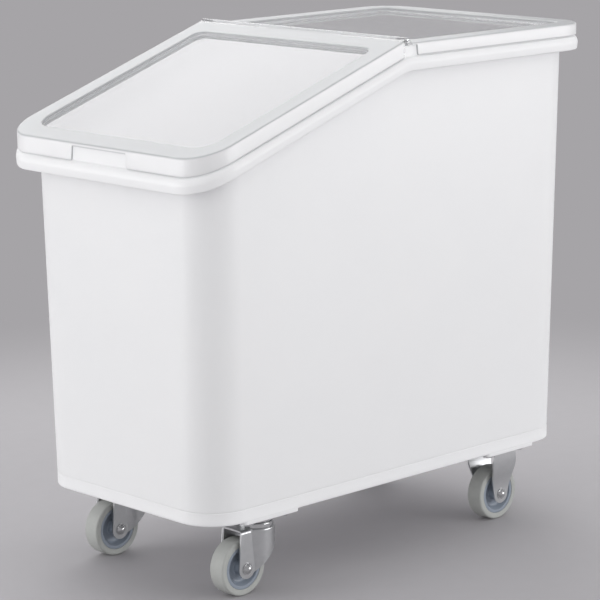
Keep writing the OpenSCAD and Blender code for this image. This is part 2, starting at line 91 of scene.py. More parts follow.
# makes an object from a bmesh in millimetres, with its slot's finish
def finishPiece(name, bm, body, slot, replaced=()):
    bmesh.ops.remove_doubles(bm, verts=bm.verts[:], dist=mergeGap)
    bmesh.ops.recalc_face_normals(bm, faces=bm.faces[:])
    bmesh.ops.scale(bm, vec=(mm, mm, mm), verts=bm.verts[:])
    mesh = bpy.data.meshes.new(name)
    bm.to_mesh(mesh)
    bm.free()
    mesh.materials.append(slotFinish[slot])
    mesh.shade_smooth()
    mesh.set_sharp_from_angle(angle=math.radians(sharpAngle))
    piece = bpy.data.objects.new(name, mesh)
    bpy.context.scene.collection.objects.link(piece)
    even = piece.modifiers.new("evenShading", "WEIGHTED_NORMAL")
    even.keep_sharp = True
    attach(piece, body)
    if replaced:
        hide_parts(*replaced)
    return piece


def roundEdges(bm, edges, radius, segments):
    bmesh.ops.bevel(bm, geom=edges, offset=radius, offset_type="OFFSET", segments=segments,
                    profile=0.5, affect="EDGES", material=-1)


def roundCorners(bm, verts, radius, segments):
    bmesh.ops.bevel(bm, geom=verts, offset=radius, offset_type="OFFSET", segments=segments,
                    profile=0.5, affect="VERTICES", material=-1)


def cutAt(bm, axis, places):
    normal = Vector([float(i == axis) for i in range(3)])
    for place in places:
        bmesh.ops.bisect_plane(bm, geom=bm.verts[:] + bm.edges[:] + bm.faces[:], dist=mergeGap,
                               plane_co=normal * place, plane_no=normal)


# a rounded rectangle as a closed wire: half width, front, back, front and back corner radius
def addLoop(bm, outline, height, segments):
    halfWidth, front, back, frontRadius, backRadius = outline
    known = set(bm.edges)
    places = ((halfWidth, front), (-halfWidth, front), (-halfWidth, back), (halfWidth, back))
    points = [bm.verts.new((x, y, height)) for x, y in places]
    bm.faces.new(points)
    roundCorners(bm, points[:2], frontRadius, segments)
    roundCorners(bm, points[2:], backRadius, segments)
    bmesh.ops.delete(bm, geom=bm.faces[:], context="FACES_ONLY")
    return [edge for edge in bm.edges if edge not in known]


# a closed shell through wires of the same count, each given a rounding, with flat ends
def loftLoops(bm, rings, segments):
    stack = 1000  # the wires are bridged one above the other, then brought to their heights
    loops = [addLoop(bm, ring[0], number * stack, segments) for number, ring in enumerate(rings)]
    for first, second in zip(loops, loops[1:]):
        bmesh.ops.bridge_loops(bm, edges=first + second)
    for loop in (loops[0], loops[-1]):
        bmesh.ops.edgeloop_fill(bm, edges=loop)
    for loop, ring in zip(loops, rings):
        for vert in {vert for edge in loop for vert in edge.verts}:
            vert.co.z = ring[1]
    for loop, (_, _, radius, steps) in zip(loops, rings):
        if radius:
            roundEdges(bm, [edge for edge in loop if edge.is_valid], radius, steps)


# a turned ring about X from a closed section of (radius, place across, rounding, steps)
def turnRing(bm, section, steps):
    verts = [bm.verts.new((across, 0, radius)) for radius, across, _, _ in section]
    bm.faces.new(verts)
    for vert, (_, _, rounding, segments) in zip(verts, section):
        if rounding:
            roundCorners(bm, [vert], rounding, segments)
    bmesh.ops.delete(bm, geom=bm.faces[:], context="FACES_ONLY")
    bmesh.ops.spin(bm, geom=bm.verts[:] + bm.edges[:], cent=(0, 0, 0), axis=(1, 0, 0),
                   angle=2 * math.pi, steps=steps, use_merge=True)


# moves the vertices that an extrude has just drawn
def drawOut(bm, drawn, reach):
    moved = [part for part in drawn["geom"] if isinstance(part, bmesh.types.BMVert)]
    bmesh.ops.translate(bm, vec=reach, verts=moved)


# adds or cuts solids, given as (operation, bmesh), and returns the joined mesh as a bmesh
def joinSolids(bm, tools):
    bmesh.ops.remove_doubles(bm, verts=bm.verts[:], dist=mergeGap)
    bmesh.ops.recalc_face_normals(bm, faces=bm.faces[:])
    made = []
    for number, part in enumerate([bm] + [tool for _, tool in tools]):
        mesh = bpy.data.meshes.new("joining")
        part.to_mesh(mesh)
        part.free()
        thing = bpy.data.objects.new("joining" + str(number), mesh)
        bpy.context.scene.collection.objects.link(thing)
        made.append(thing)
    for (operation, _), tool in zip(tools, made[1:]):
        join = made[0].modifiers.new("join", "BOOLEAN")
        join.operation = operation
        join.solver = "EXACT"
        join.object = tool
    bpy.context.view_layer.update()
    whole = made[0].evaluated_get(bpy.context.evaluated_depsgraph_get())
    result = bmesh.new()
    result.from_mesh(whole.to_mesh())
    whole.to_mesh_clear()
    for thing in made:
        mesh = thing.data
        bpy.data.objects.remove(thing)
        bpy.data.meshes.remove(mesh)
    return result


# materials
# moulded polyethylene: satin white, a faint shrink ripple and a fine mould grain
def whitePolyethylene():
    material, tree = newMaterial("moulded white polyethylene")
    place = addNode(tree, "TexCoord").outputs["Object"]
    ripple = addNode(tree, "TexNoise", {"Scale": perSize(140), "Detail": 2.0}, {"Vector": place})
    grain = addNode(tree, "TexNoise", {"Scale": perSize(2.4), "Detail": 3.0},
                    {"Vector": place})  # the real grain is about 0.5 mm, drawn coarser so that it shows
    tint = addNode(tree, "Mix", {"data_type": "RGBA", 6: srgb("#EDEEF0"), 7: srgb("#F2F2F3")},
                   {"Factor": ripple.outputs["Fac"]})
    gloss = addNode(tree, "MapRange", {"To Min": 0.36, "To Max": 0.46}, {"Value": grain.outputs["Fac"]})
    wave = addNode(tree, "Bump", {"Strength": 0.35, "Distance": 0.9 * mm},
                   {"Height": ripple.outputs["Fac"]})
    skin = addNode(tree, "Bump", {"Strength": 0.10, "Distance": 0.12 * mm},
                   {"Height": grain.outputs["Fac"], "Normal": wave.outputs["Normal"]})
    shader = addNode(tree, "BsdfPrincipled",
                     {"IOR": 1.51, "Subsurface Weight": 0.5, "Subsurface Radius": (1, 1, 1),
                      "Subsurface Scale": 14 * mm},
                     {"Base Color": tint.outputs[2], "Roughness": gloss.outputs["Result"],
                      "Normal": skin.outputs["Normal"]})
    addNode(tree, "OutputMaterial", None, {"Surface": shader.outputs["BSDF"]})
    return material


# pressed polycarbonate sheet: clear windows with faint wiping streaks, a milky satin border where the
# sheet was drawn in the press, and a whiter skirt. The border's grey tint is painted shade, standing for
# the grey backdrop seen through clear plastic. Where the skirt's share fades, at its top bend and its foot,
# that painted grey is left as thin dark lines. All is marked by the piece's own attributes for milk and
# skirt
def clearPolycarbonate():
    material, tree = newMaterial("clear polycarbonate sheet")
    place = addNode(tree, "TexCoord").outputs["Object"]
    milkAndShade = addNode(tree, "Attribute", {"attribute_name": "milkAndShade"}).outputs["Fac"]
    skirt = addNode(tree, "Attribute", {"attribute_name": "skirt"}).outputs["Fac"]
    clarity = addNode(tree, "MapRange", {"To Min": 0.97, "To Max": 0.3}, {"Value": milkAndShade})
    # the border's grey is painted shade: clear plastic showing the grey backdrop behind it
    tint = addNode(tree, "Mix", {"data_type": "RGBA", 6: srgb("#FBFBFC"), 7: srgb("#BEC0C2")},
                   {"Factor": milkAndShade})
    # the skirt is tinted back to near white; where its share fades, at the top bend and the foot, the
    # painted grey shade is left as thin dark lines
    tint = addNode(tree, "Mix", {"data_type": "RGBA", 7: srgb("#F4F4F5")},
                   {"Factor": skirt, 6: tint.outputs[2]})
    drawn = addNode(tree, "Mapping", {"Scale": (0.12, 1.0, 1.0)}, {"Vector": place})
    streak = addNode(tree, "TexNoise", {"Scale": perSize(9), "Detail": 4.0, "Roughness": 0.6},
                     {"Vector": drawn.outputs["Vector"]})
    gloss = addNode(tree, "MapRange", {"From Min": 0.4, "From Max": 0.75, "To Min": 0.02, "To Max": 0.10},
                    {"Value": streak.outputs["Fac"]})
    satin = addNode(tree, "Mix", {3: 0.32}, {0: milkAndShade, 2: gloss.outputs["Result"]})
    sag = addNode(tree, "TexNoise", {"Scale": perSize(90), "Detail": 1.0}, {"Vector": place})
    wave = addNode(tree, "Bump", {"Strength": 0.3, "Distance": 0.35 * mm}, {"Height": sag.outputs["Fac"]})
    glass = addNode(tree, "BsdfPrincipled", {"IOR": 1.585},
                    {"Base Color": tint.outputs[2], "Roughness": satin.outputs[0],
                     "Transmission Weight": clarity.outputs["Result"], "Normal": wave.outputs["Normal"]})
    through = addNode(tree, "BsdfTransparent", {"Color": srgb("#FCFCFC")})
    path = addNode(tree, "LightPath")
    mixed = addNode(tree, "MixShader", None,
                    {0: path.outputs["Is Shadow Ray"], 1: glass.outputs["BSDF"],
                     2: through.outputs["BSDF"]})
    addNode(tree, "OutputMaterial", None, {"Surface": mixed.outputs["Shader"]})
    return material


# zinc-plated pressed sheet: soft grey mirror with a cloudy plating bloom and press drag marks
def zincPlate():
    material, tree = newMaterial("zinc plated pressed steel")
    place = addNode(tree, "TexCoord").outputs["Object"]
    bloom = addNode(tree, "TexNoise", {"Scale": perSize(7), "Detail": 4.0}, {"Vector": place})
    along = addNode(tree, "Mapping", {"Scale": (1.0, 1.0, 0.08)}, {"Vector": place})
    drag = addNode(tree, "TexNoise", {"Scale": perSize(0.9), "Detail": 2.0},
                   {"Vector": along.outputs["Vector"]})  # drag lines are finer, drawn coarser to show
    tint = addNode(tree, "Mix", {"data_type": "RGBA", 6: srgb("#CBCDCE"), 7: srgb("#D8D9DA")},
                   {"Factor": bloom.outputs["Fac"]})
    gloss = addNode(tree, "MapRange", {"To Min": 0.28, "To Max": 0.35}, {"Value": bloom.outputs["Fac"]})
    skin = addNode(tree, "Bump", {"Strength": 0.06, "Distance": 0.05 * mm}, {"Height": drag.outputs["Fac"]})
    shader = addNode(tree, "BsdfPrincipled", {"Metallic": 1.0},
                     {"Base Color": tint.outputs[2], "Roughness": gloss.outputs["Result"],
                      "Normal": skin.outputs["Normal"]})
    addNode(tree, "OutputMaterial", None, {"Surface": shader.outputs["BSDF"]})
    return material


# bright plated fasteners and race cups: close to a mirror, with fine handling haze
def brightSteel():
    material, tree = newMaterial("bright nickel plated steel")
    place = addNode(tree, "TexCoord").outputs["Object"]
    haze = addNode(tree, "TexNoise", {"Scale": perSize(3), "Detail": 4.0}, {"Vector": place})
    tint = addNode(tree, "Mix", {"data_type": "RGBA", 6: srgb("#C6C8C9"), 7: srgb("#E2E3E3")},
                   {"Factor": haze.outputs["Fac"]})
    gloss = addNode(tree, "MapRange", {"To Min": 0.10, "To Max": 0.26}, {"Value": haze.outputs["Fac"]})
    shader = addNode(tree, "BsdfPrincipled", {"Metallic": 1.0},
                     {"Base Color": tint.outputs[2], "Roughness": gloss.outputs["Result"]})
    addNode(tree, "OutputMaterial", None, {"Surface": shader.outputs["BSDF"]})
    return material


# light grey rubber: dull, with a moulded speckle and a little floor dust
def greyRubber():
    material, tree = newMaterial("grey moulded rubber")
    place = addNode(tree, "TexCoord").outputs["Object"]
    dust = addNode(tree, "TexNoise", {"Scale": perSize(11), "Detail": 5.0, "Roughness": 0.65},
                   {"Vector": place})
    speckle = addNode(tree, "TexNoise", {"Scale": perSize(0.8), "Detail": 2.0}, {"Vector": place})
    tint = addNode(tree, "Mix", {"data_type": "RGBA", 6: srgb("#A3A5A2"), 7: srgb("#B4B6B3")},
                   {"Factor": dust.outputs["Fac"]})
    gloss = addNode(tree, "MapRange", {"To Min": 0.48, "To Max": 0.72}, {"Value": dust.outputs["Fac"]})
    skin = addNode(tree, "Bump", {"Strength": 0.25, "Distance": 0.06 * mm},
                   {"Height": speckle.outputs["Fac"]})
    shader = addNode(tree, "BsdfPrincipled", {"IOR": 1.52},
                     {"Base Color": tint.outputs[2], "Roughness": gloss.outputs["Result"],
                      "Normal": skin.outputs["Normal"]})
    addNode(tree, "OutputMaterial", None, {"Surface": shader.outputs["BSDF"]})
    return material


# blue-grey wheel nylon: semi-gloss moulding with faint flow marks
def wheelNylon():
    material, tree = newMaterial("blue grey moulded nylon")
    place = addNode(tree, "TexCoord").outputs["Object"]
    flow = addNode(tree, "TexNoise", {"Scale": perSize(8), "Detail": 3.0, "Distortion": 0.8},
                   {"Vector": place})
    tint = addNode(tree, "Mix", {"data_type": "RGBA", 6: srgb("#838C99"), 7: srgb("#949DA9")},
                   {"Factor": flow.outputs["Fac"]})
    gloss = addNode(tree, "MapRange", {"To Min": 0.28, "To Max": 0.45}, {"Value": flow.outputs["Fac"]})
    skin = addNode(tree, "Bump", {"Strength": 0.15, "Distance": 0.08 * mm}, {"Height": flow.outputs["Fac"]})
    shader = addNode(tree, "BsdfPrincipled", {"IOR": 1.53},
                     {"Base Color": tint.outputs[2], "Roughness": gloss.outputs["Result"],
                      "Normal": skin.outputs["Normal"]})
    addNode(tree, "OutputMaterial", None, {"Surface": shader.outputs["BSDF"]})
    return material


# seamless studio paper: flat pale grey with a barely visible tooth
def studioPaper():
    material, tree = newMaterial("studio paper")
    place = addNode(tree, "TexCoord").outputs["Object"]
    tooth = addNode(tree, "TexNoise", {"Scale": perSize(30), "Detail": 3.0}, {"Vector": place})
    tint = addNode(tree, "Mix", {"data_type": "RGBA", 6: srgb("#AEACAF"), 7: srgb("#B1AFB2")},
                   {"Factor": tooth.outputs["Fac"]})
    shader = addNode(tree, "BsdfPrincipled", {"Roughness": 0.9, "Specular IOR Level": 0.1},
                     {"Base Color": tint.outputs[2]})
    reach = addNode(tree, "VectorMath", {"operation": "LENGTH"}, {0: place})
    far = addNode(tree, "MapRange",
                  {"interpolation_type": "SMOOTHSTEP", "From Min": studio["nearFloor"],
                   "From Max": studio["farFloor"]},
                  {"Value": reach.outputs["Value"]})
    share = addNode(tree, "Math", {"operation": "MULTIPLY"},
                    {0: far.outputs["Result"], 1: seenDirectly(tree)})
    glow = addNode(tree, "Emission", {"Color": srgb(studio["backdrop"]), "Strength": 1.0})
    mixed = addNode(tree, "MixShader", None,
                    {0: share.outputs["Value"], 1: shader.outputs["BSDF"], 2: glow.outputs["Emission"]})
    addNode(tree, "OutputMaterial", None, {"Surface": mixed.outputs["Shader"]})
    return material


# one for what the camera, a mirror or a window shows, nought for light that falls on the object
def seenDirectly(tree):
    path = addNode(tree, "LightPath")
    seen = addNode(tree, "Math", {"operation": "MAXIMUM"},
                   {0: path.outputs["Is Camera Ray"], 1: path.outputs["Is Glossy Ray"]})
    seen = addNode(tree, "Math", {"operation": "MAXIMUM"},
                   {0: seen.outputs["Value"], 1: path.outputs["Is Transmission Ray"]})
    return seen.outputs["Value"]


slotFinish = {
    "white_polyethylene": whitePolyethylene(),
    "clear_polycarbonate": clearPolycarbonate(),
    "zinc_steel": zincPlate(),
    "bright_steel": brightSteel(),
    "grey_rubber": greyRubber(),
    "wheel_plastic": wheelNylon(),
}
for subpart in frame["record"]["subparts"]:
    cadNode = nodes[subpart["node"]]
    cadNode.data.materials.clear()
    cadNode.data.materials.append(slotFinish[subpart["material_slot"]])
print("finishes ready:", len(slotFinish))


# tub
tubLow, tubHigh = boxOf("tub")
tub = {
    "halfWidth": tubHigh.x, "halfLength": tubHigh.y, "top": tubHigh.z, "padFoot": tubLow.z,
    "upstand": 15, "upstandInset": 7.6, "upstandSheet": 4, "upstandCorner": 84, "rimCorner": 60,
    "frontWallCorner": 58, "backWallCorner": 52, "cornerSegments": 20,
    "sideOverhang": 22, "frontOverhang": 25, "backOverhang": 18.5,
    "sideTaper": 10.5, "frontTaper": 4.5, "backTaper": 10,
    "wall": 4, "floor": 5, "rimSheet": 4, "lipSheet": 4.5, "lipDepth": 19, "lipDraft": 0.8,
    "rimEdge": 6.5, "rimRound": 10, "rimSteps": 9,
    "baseBand": 18.5, "grooveDepth": 0.45, "grooveHalf": 0.8,
    "padThick": 4, "padLength": 82, "padLead": 17, "padInner": 32, "padSide": 0.4, "padCorner": 6,
    "padSegments": 6,
}
tubEdges = {  # rounding and steps of each edge
    "floor": (14, 6), "mouth": (3, 4), "upstandInFoot": (1.0, 2), "upstandTop": (1.2, 3),
    "upstandFoot": (0.9, 3), "lipOut": (2.0, 4), "lipIn": (1.2, 3), "underLip": (3, 3), "underRim": (5, 4),
    "grooveEdge": (0.6, 2), "groove": (0.4, 2), "base": (2.5, 4), "pad": (0.8, 3), "plain": (0, 0),
}
slope = {"angle": 18.6, "ridge": -20, "bend": 10, "stations": 15,
         "sink": 5, "frontSink": 2, "frontReach": 46, "lipGain": 0.01}
steep = math.tan(math.radians(slope["angle"]))
rimBend = slope["ridge"] + slope["sink"] / steep


def smoothShare(value):
    value = min(1.0, max(0.0, value))
    return value * value * (3 - 2 * value)


# how far the top edge lies below the flat rear at a place along the bin
def slopeLine(y):
    return (y - slope["ridge"]) * steep


def bentLine(y, bendY):
    ahead = y - bendY
    if ahead > slope["bend"]:
        return 0.0
    if ahead < -slope["bend"]:
        return ahead * steep
    return -steep * (ahead - slope["bend"]) ** 2 / (4 * slope["bend"])


# the rim sinks below the upstand's slope, and dips a little more round the front
def rimFall(y):
    frontShare = (tub["upstandInset"] + slope["frontReach"] - tub["halfLength"] - y) / slope["frontReach"]
    return bentLine(y, rimBend) - slope["frontSink"] * smoothShare(frontShare)


# outlines of the rim's edge, the upstand and the wall
def atRim(inset, corner):
    return (tub["halfWidth"] - inset, inset - tub["halfLength"], tub["halfLength"] - inset, corner, corner)


def atEdge(inset):
    return atRim(inset, tub["rimCorner"] - inset)


def atUpstand(inset):
    return atRim(tub["upstandInset"] + inset, tub["upstandCorner"] - inset)


def atWall(out, share):
    # share 1 is just below the rim, 0 is at the base
    lean = 1 - share
    return (tub["halfWidth"] - tub["sideOverhang"] - lean * tub["sideTaper"] + out,
            tub["frontOverhang"] - tub["halfLength"] + lean * tub["frontTaper"] - out,
            tub["halfLength"] - tub["backOverhang"] - lean * tub["backTaper"] + out,
            tub["frontWallCorner"] + out, tub["backWallCorner"] + out)


def buildTub():
    baseZ = tub["padFoot"] + tub["padThick"]
    rimZ = tub["top"] - tub["upstand"]
    lipFoot = rimZ - tub["lipDepth"]
    under = rimZ - tub["rimSheet"]
    bandZ = baseZ + tub["baseBand"]
    groove = tub["grooveHalf"]
    rings = [  # outline, height, rounding, steps
        (atWall(-tub["wall"], 0), baseZ + tub["floor"], *tubEdges["floor"]),
        (atWall(-tub["wall"], 1), rimZ, *tubEdges["mouth"]),
        (atUpstand(tub["upstandSheet"]), rimZ, *tubEdges["upstandInFoot"]),
        (atUpstand(tub["upstandSheet"]), tub["top"], *tubEdges["upstandTop"]),
        (atUpstand(0), tub["top"], *tubEdges["upstandTop"]),
        (atUpstand(0), rimZ, *tubEdges["upstandFoot"]),
    ]
    for step in range(tub["rimSteps"] + 1):  # the rim's nose is a quarter of an ellipse, deeper than wide
        angle = math.pi / 2 * step / tub["rimSteps"]
        rings.append((atEdge(tub["rimEdge"] * (1 - math.sin(angle))),
                      rimZ - tub["rimRound"] * (1 - math.cos(angle)), *tubEdges["plain"]))
    rings += [
        (atEdge(tub["lipDraft"]), lipFoot, *tubEdges["lipOut"]),
        (atEdge(tub["lipSheet"]), lipFoot, *tubEdges["lipIn"]),
        (atEdge(tub["lipSheet"]), under, *tubEdges["underLip"]),
        (atWall(0, 1), under, *tubEdges["underRim"]),
        (atWall(0, 0), bandZ + groove, *tubEdges["grooveEdge"]),
        (atWall(-tub["grooveDepth"], 0), bandZ, *tubEdges["groove"]),
        (atWall(0, 0), bandZ - groove, *tubEdges["grooveEdge"]),
        (atWall(0, 0), baseZ, *tubEdges["base"]),
    ]
    bm = bmesh.new()
    loftLoops(bm, rings, tub["cornerSegments"])
    bendStart = slope["ridge"] - slope["bend"]
    span = (rimBend + slope["bend"] - bendStart) / (slope["stations"] - 1)
    cutAt(bm, 1, [bendStart + station * span for station in range(slope["stations"])])
    middle = (baseZ + rimZ) / 2
    for vert in bm.verts:
        if vert.co.z > middle:
            climb = max(0.0, (vert.co.z - rimZ) / tub["upstand"])
            lip = slope["lipGain"] if vert.co.z < rimZ - tub["rimRound"] else 0
            vert.co.z += ((1 - climb) * (1 + lip) * rimFall(vert.co.y)
                          + climb * bentLine(vert.co.y, slope["ridge"]))
    bm = joinSolids(bm, [("UNION", padSolid(corner, baseZ)) for corner in corners])
    return finishPiece("tub_moulding", bm, "tub", "white_polyethylene", ["tub"])


# one caster pad, from just inside the mounting plate out to the foot of the side wall
def padSolid(corner, baseZ):
    low, high = boxOf(corner + "_plate_bolts")
    place = (low + high) / 2
    inner = abs(place.x) - tub["padInner"]
    outer = atWall(0, 0)[0] - tub["padSide"]
    length = (tub["padLength"] + tub["padLead"]) / 2
    outline = ((outer - inner) / 2, -length, length, tub["padCorner"], tub["padCorner"])
    bm = bmesh.new()
    loftLoops(bm, [(outline, tub["padFoot"], *tubEdges["pad"]),
                   (outline, baseZ + tub["floor"] / 2, *tubEdges["plain"])], tub["padSegments"])
    middle = (math.copysign((outer + inner) / 2, place.x), place.y - tub["padLead"] / 2, 0)
    bmesh.ops.translate(bm, vec=middle, verts=bm.verts[:])
    bmesh.ops.recalc_face_normals(bm, faces=bm.faces[:])
    return bm


tubPiece = buildTub()
print("tub moulded:", len(tubPiece.data.polygons), "faces")


# lids
# milkDepth, footLine and rearHaze also place the sheet's painted grey shade: down the window's wall, as a
# thin line at the skirt's foot, and faintly over the rear window
lid = {
    "sheet": 3, "skirt": 17.2, "recess": 6, "border": 31.5, "topBand": 36, "draft": 1, "flare": 0.5,
    "windowCorner": 14, "frontWindowCorner": 28, "frontCorner": 52, "rearCorner": 52, "sharpCorner": 2.5,
    "seat": 0.5, "cornerSegments": 16, "rest": 0.2, "milkDepth": 6, "edgeRound": 2.4,
    "footLine": 1.4, "footRing": 1.8, "clearHinge": 9, "rearHaze": 0.12,
    "notchHalf": 54, "notchRamp": 3, "notchRest": 5, "skirtRamp": 2, "rampSteps": 4,
    "frontGap": 2.5, "rearGap": 5, "rearLap": 8, "hingeMargin": 0.5, "cutOver": 1,
    "bead": 3.3, "beadSides": 48, "pin": 1.58, "pinReach": 12, "pinSides": 24,
    "lugWidth": 7, "lugInset": 2.5, "lugLength": 12, "lugRoot": 2.2, "lugPlay": 0.5, "lugEase": 0.4,
    "eyeShare": 0.95, "eyeSteps": 8,
}
lidEdges = {  # rounding and steps of each edge
    "pane": (1.2, 3), "brim": (2.2, 6), "outer": (lid["edgeRound"], 5), "foot": (0.7, 2),
    "under": (1.2, 3), "underBrim": (1.6, 3), "underPane": (2.5, 4), "plain": (0, 0),
}
frontHigh = boxOf("front_lid")[1]
rearHigh = boxOf("rear_lid")[1]
lidTop = tub["top"] + lid["seat"] + lid["sheet"]
lidHalf = rearHigh.x
lidEnd = rearHigh.y
hingeY = -lid["bead"]
hingeZ = frontHigh.z - lid["bead"]
lugOut = lidHalf - lid["lugInset"]
lugIn = lugOut - lid["lugWidth"]
frontSkirtEnd = hingeY - lid["bead"] - lid["lugPlay"] - lid["frontGap"]
rearSkirtStart = hingeY + lid["lugLength"] + lid["rearGap"]


# skirt, border and recessed window of one lid, flat, with its top at zero
def lidShell(outline, window):
    halfWidth, front, back, frontRadius, backRadius = outline

    def edge(inset):
        return (halfWidth - inset, front + inset, back - inset,
                max(frontRadius - inset, lid["sharpCorner"]), max(backRadius - inset, lid["sharpCorner"]))

    def pane(out):
        return (window[0] + out, window[1] - out, window[2] + out, window[3] + out, window[4] + out)

    sheet = lid["sheet"]
    bm = bmesh.new()
    loftLoops(bm, [
        (pane(-lid["draft"]), -lid["recess"], *lidEdges["pane"]),
        (pane(lid["flare"]), 0, *lidEdges["brim"]),
        (edge(0), 0, *lidEdges["outer"]),
        (edge(0), lid["footRing"] - lid["skirt"], *lidEdges["plain"]),
        (edge(0), -lid["skirt"], *lidEdges["foot"]),
        (edge(sheet), -lid["skirt"], *lidEdges["foot"]),
        (edge(sheet), -sheet, *lidEdges["under"]),
        (pane(sheet), -sheet, *lidEdges["underBrim"]),
        (pane(sheet - lid["draft"]), -sheet - lid["recess"], *lidEdges["underPane"]),
    ], lid["cornerSegments"])
    return bm


# tells the window and its wall from the skirt
def overPane(place, window):
    margin = 2 * lid["sheet"]
    return abs(place.x) < window[0] + margin and window[1] - margin < place.y < window[2] + margin


# brings the skirt to the length that is given at each place round the lid
def hangSkirt(bm, window, lengthAt):
    sheet = lid["sheet"]
    for vert in bm.verts:
        depth = -vert.co.z
        if depth > sheet and not overPane(vert.co, window):
            share = max(lid["rest"], lengthAt(vert.co)) / (lid["skirt"] - sheet)
            vert.co.z = -sheet - (depth - sheet) * share


# the border and skirt are milky, and the window, its wall and the hinge ends are clear. The milk share also
# lays on the border's painted grey shade, down the window's wall and faintly over a hazed window, and the
# skirt share fades at the skirt's top bend and foot, leaving painted dark lines of shade there
def markMilkAndShade(bm, window, fallAt, lengthAt, haze=0.0):
    milkAndShade = bm.verts.layers.float.new("milkAndShade")
    skirt = bm.verts.layers.float.new("skirt")
    hingeEnd = lugIn - 2 * lid["lugPlay"]
    for vert in bm.verts:
        depth = lidTop + fallAt(vert.co.y) - vert.co.z
        if overPane(vert.co, window):
            vert[milkAndShade] = 1 - (1 - haze) * smoothShare(depth / lid["milkDepth"])
        else:
            byHinge = abs(vert.co.x) > hingeEnd and abs(vert.co.y - hingeY) < lid["clearHinge"]
            vert[milkAndShade] = 0 if byHinge else 1
            aboveFoot = lid["sheet"] + max(lid["rest"], lengthAt(vert.co)) - depth
            # the skirt share fades over the top rounding and over footLine at the foot: painted dark lines
            # of shade
            vert[skirt] = (vert[milkAndShade] * smoothShare(depth / lid["edgeRound"])
                           * smoothShare(aboveFoot / lid["footLine"]))


def rampPlaces(start, length):
    return [start + length * step / lid["rampSteps"] for step in range(lid["rampSteps"] + 1)]


# a round bar on the hinge line
def solidBar(x0, x1, radius, segments):
    bm = bmesh.new()
    place = Matrix.Translation(((x0 + x1) / 2, hingeY, hingeZ))
    bmesh.ops.create_cone(bm, cap_ends=True, segments=segments, radius1=radius, radius2=radius,
                          depth=abs(x1 - x0), matrix=place @ Matrix.Rotation(math.pi / 2, 4, "Y"))
    return bm


def pinBore(x0, x1):
    return solidBar(x0, x1, lid["pin"], lid["pinSides"])


def solidBox(size, centre):
    bm = bmesh.new()
    bmesh.ops.create_cube(bm, size=1, matrix=Matrix.Translation(centre) @ Matrix.Diagonal((*size, 1)))
    return bm


def buildFrontLid():
    front = -lidEnd
    window = (lidHalf - lid["border"], front + lid["border"], hingeY - lid["topBand"],
              lid["frontWindowCorner"], lid["windowCorner"])
    bm = lidShell((lidHalf, front, hingeY, lid["frontCorner"], lid["sharpCorner"]), window)
    cutAt(bm, 1, rampPlaces(frontSkirtEnd, -lid["skirtRamp"]))
    cutAt(bm, 1, [hingeY - lid["clearHinge"] - lid["hingeMargin"]])
    notchSide = rampPlaces(lid["notchHalf"], lid["notchRamp"])
    cutAt(bm, 0, [side * place for place in notchSide for side in (-1, 1)])

    def lengthAt(place):
        length = lid["skirt"] - lid["sheet"] + slopeLine(place.y) - rimFall(place.y)
        length *= smoothShare((frontSkirtEnd - place.y) / lid["skirtRamp"])
        if place.y < front + 2 * lid["sheet"]:
            length *= smoothShare((abs(place.x) - lid["notchHalf"]) / lid["notchRamp"])
            length = max(lid["notchRest"] - lid["sheet"], length)
        return length

    hangSkirt(bm, window, lengthAt)
    for vert in bm.verts:
        vert.co.z += lidTop + slopeLine(vert.co.y)
    beadEnd = lugIn - lid["lugPlay"]
    tools = [("UNION", solidBar(-beadEnd, beadEnd, lid["bead"], lid["beadSides"]))]
    outer = lidHalf + lid["cutOver"]
    lugRoom = (2 * (outer - lugIn + lid["lugPlay"]), 2 * (lid["bead"] + lid["lugPlay"]), 2 * lid["skirt"])
    boreEnd = lugIn - lid["pinReach"] - lid["cutOver"]
    boreStart = lugIn + lid["cutOver"]
    for side in (-1, 1):
        tools.append(("DIFFERENCE", solidBox(lugRoom, (side * outer, hingeY, hingeZ))))
        tools.append(("DIFFERENCE", pinBore(side * boreEnd, side * boreStart)))
    bm = joinSolids(bm, tools)
    markMilkAndShade(bm, window, slopeLine, lengthAt)
    return finishPiece("front_lid_sheet", bm, "front_lid", "clear_polycarbonate", ["front_lid"])


def buildRearLid():
    front = -lid["rearLap"]
    window = (lidHalf - lid["border"], front + lid["topBand"], lidEnd - lid["border"],
              lid["windowCorner"], lid["windowCorner"])
    bm = lidShell((lidHalf, front, lidEnd, lid["sharpCorner"], lid["rearCorner"]), window)
    cutAt(bm, 1, rampPlaces(rearSkirtStart, lid["skirtRamp"]))
    cutAt(bm, 1, [hingeY + lid["clearHinge"] + lid["hingeMargin"]])
    full = lid["skirt"] - lid["sheet"]

    def lengthAt(place):
        return full * smoothShare((place.y - rearSkirtStart) / lid["skirtRamp"])

    hangSkirt(bm, window, lengthAt)
    for vert in bm.verts:
        vert.co.z += lidTop
    tools = []
    boreStart = lugIn - lid["cutOver"]
    boreEnd = lugOut + lid["cutOver"]
    for side in (-1, 1):
        tools.append(("UNION", lugSolid(side)))
        tools.append(("DIFFERENCE", pinBore(side * boreStart, side * boreEnd)))
    bm = joinSolids(bm, tools)
    markMilkAndShade(bm, window, lambda y: 0, lengthAt, lid["rearHaze"])
    return finishPiece("rear_lid_sheet", bm, "rear_lid", "clear_polycarbonate", ["rear_lid"])


